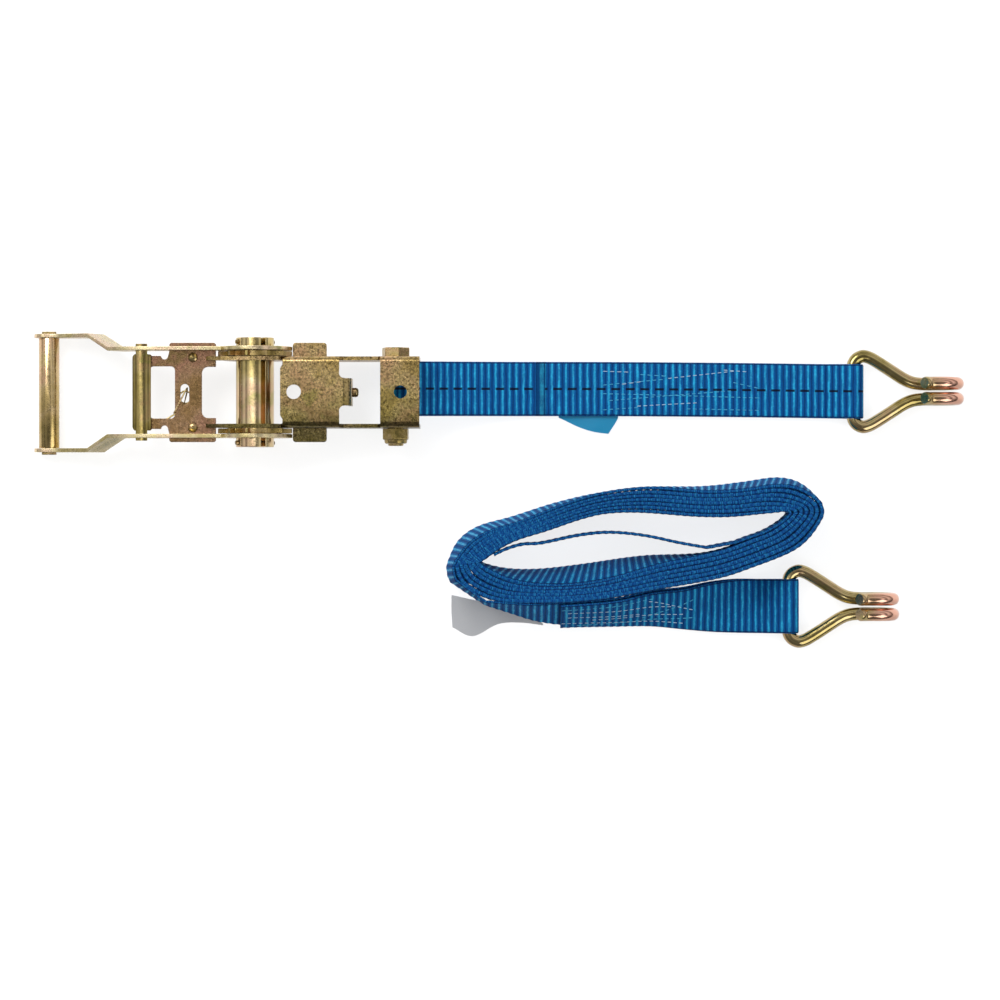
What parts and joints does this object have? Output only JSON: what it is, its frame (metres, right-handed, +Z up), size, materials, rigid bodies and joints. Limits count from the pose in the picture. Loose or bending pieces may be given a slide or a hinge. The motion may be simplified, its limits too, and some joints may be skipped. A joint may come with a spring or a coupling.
{
  "type": "ratchet tie down",
  "caption": "Ratchet tie-down strap set: buckle with folding handle, short sewn strap with claw hook, and a wound long strap with its own hook.",
  "frame": {"origin": "under the middle of the whole set, on the surface it lies on", "axes": "+X from the handle's grip to the hooks, along the webbing; +Y across the webbing, from the wound strap to the ratchet; +Z up"},
  "size_m": [0.5985, 0.2039, 0.0485],
  "materials": {
    "yellow_zinc": "yellow-passivated zinc plate, bright",
    "spring_steel": "plated spring wire, satin",
    "hook_zinc": "yellow-passivated zinc plate on forged wire, bright",
    "blue_webbing": "woven polyester, matt",
    "blue_label": "smooth sewn label, satin",
    "white_label": "smooth sewn label, satin"
  },
  "bodies": {
    "base": {"frame": "yellow_zinc", "tail_bolt": "yellow_zinc", "tail_nut": "yellow_zinc", "base_pawl_spring": "spring_steel", "short_strap": "blue_webbing", "short_strap_label": "blue_label", "long_strap_bundle": "blue_webbing", "long_strap_free_end": "blue_webbing", "long_strap_sewn_end": "blue_webbing", "long_strap_hook_eye": "blue_webbing", "long_strap_label": "white_label"},
    "spindle": {"spindle_half_upper": "yellow_zinc", "spindle_half_lower": "yellow_zinc", "ratchet_wheel_left": "yellow_zinc", "ratchet_wheel_right": "yellow_zinc", "spindle_pin_left": "yellow_zinc", "spindle_pin_right": "yellow_zinc"},
    "handle": {"handle_plate_left": "yellow_zinc", "handle_plate_right": "yellow_zinc", "handle_grip": "yellow_zinc", "grip_bar": "yellow_zinc", "handle_crossbar": "yellow_zinc"},
    "handle_pawl": {"handle_pawl": "yellow_zinc", "handle_pawl_rivet_left": "yellow_zinc", "handle_pawl_rivet_right": "yellow_zinc", "handle_pawl_spring": "spring_steel"},
    "base_pawl": {"base_pawl": "yellow_zinc", "base_pawl_guide_pin": "yellow_zinc"},
    "short_hook": {"short_strap_hook": "hook_zinc"},
    "long_hook": {"long_strap_hook": "hook_zinc"}
  },
  "joints": [
    {"name": "spindle_spin", "type": "hinge", "parent": "base", "child": "spindle", "pos_m": [-0.1558, 0.0622, 0.0245], "axis": [0, 1, 0], "continuous": true},
    {"name": "handle_fold", "type": "hinge", "parent": "base", "child": "handle", "pos_m": [-0.1558, 0.0622, 0.0245], "axis": [0, -1, 0], "range_deg": [0, 150]},
    {"name": "handle_pawl_slide", "type": "slide", "parent": "handle", "child": "handle_pawl", "axis": [-1, 0, 0], "range_m": [-0.0045, 0.009], "stiffness_N_per_m": 400},
    {"name": "base_pawl_slide", "type": "slide", "parent": "base", "child": "base_pawl", "axis": [-1, 0, 0], "range_m": [0, 0.004]},
    {"name": "short_hook_swing", "type": "hinge", "parent": "base", "child": "short_hook", "pos_m": [0.229, 0.0633, 0.0071], "axis": [0, -1, 0], "range_deg": [0, 120]},
    {"name": "long_hook_swing", "type": "hinge", "parent": "base", "child": "long_hook", "pos_m": [0.1874, -0.0752, 0.0071], "axis": [0, -1, 0], "range_deg": [0, 120]}
  ],
  "couplings": [
    {"joint": "base_pawl_slide", "follows": "handle_fold", "m_per_rad": 0.0015279}
  ]
}
